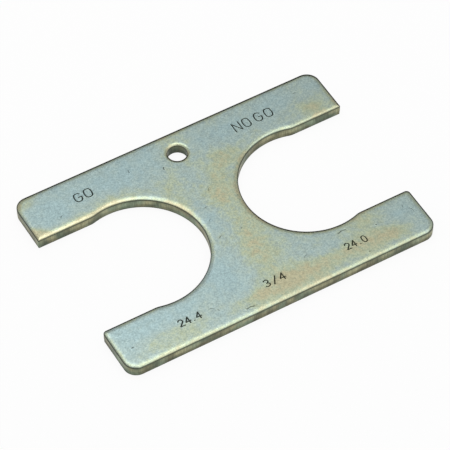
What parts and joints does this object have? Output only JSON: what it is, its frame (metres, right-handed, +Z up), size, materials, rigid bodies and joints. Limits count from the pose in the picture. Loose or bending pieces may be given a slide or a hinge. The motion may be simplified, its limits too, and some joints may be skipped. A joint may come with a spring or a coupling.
{
  "type": "crimp ring gauge",
  "caption": "Flat punched steel go and no-go gauge with an open jaw at each end and a hanging hole, for the outside size of crimped pipe rings.",
  "frame": {"origin": "centre of the plate's outline on its bottom face, the one it lies on", "axes": "+X along the plate's length from the GO jaw to the NO GO jaw, +Y across the width towards the edge with the hanging hole, +Z up through the stamped top face"},
  "size_m": [0.0654, 0.0454, 0.0024],
  "materials": {
    "zinc_plate": "satin clear zinc plating with pale blue and yellow passivation tints on punched steel sheet"
  },
  "bodies": {
    "root": {"gauge_plate": "zinc_plate"}
  },
  "joints": []
}
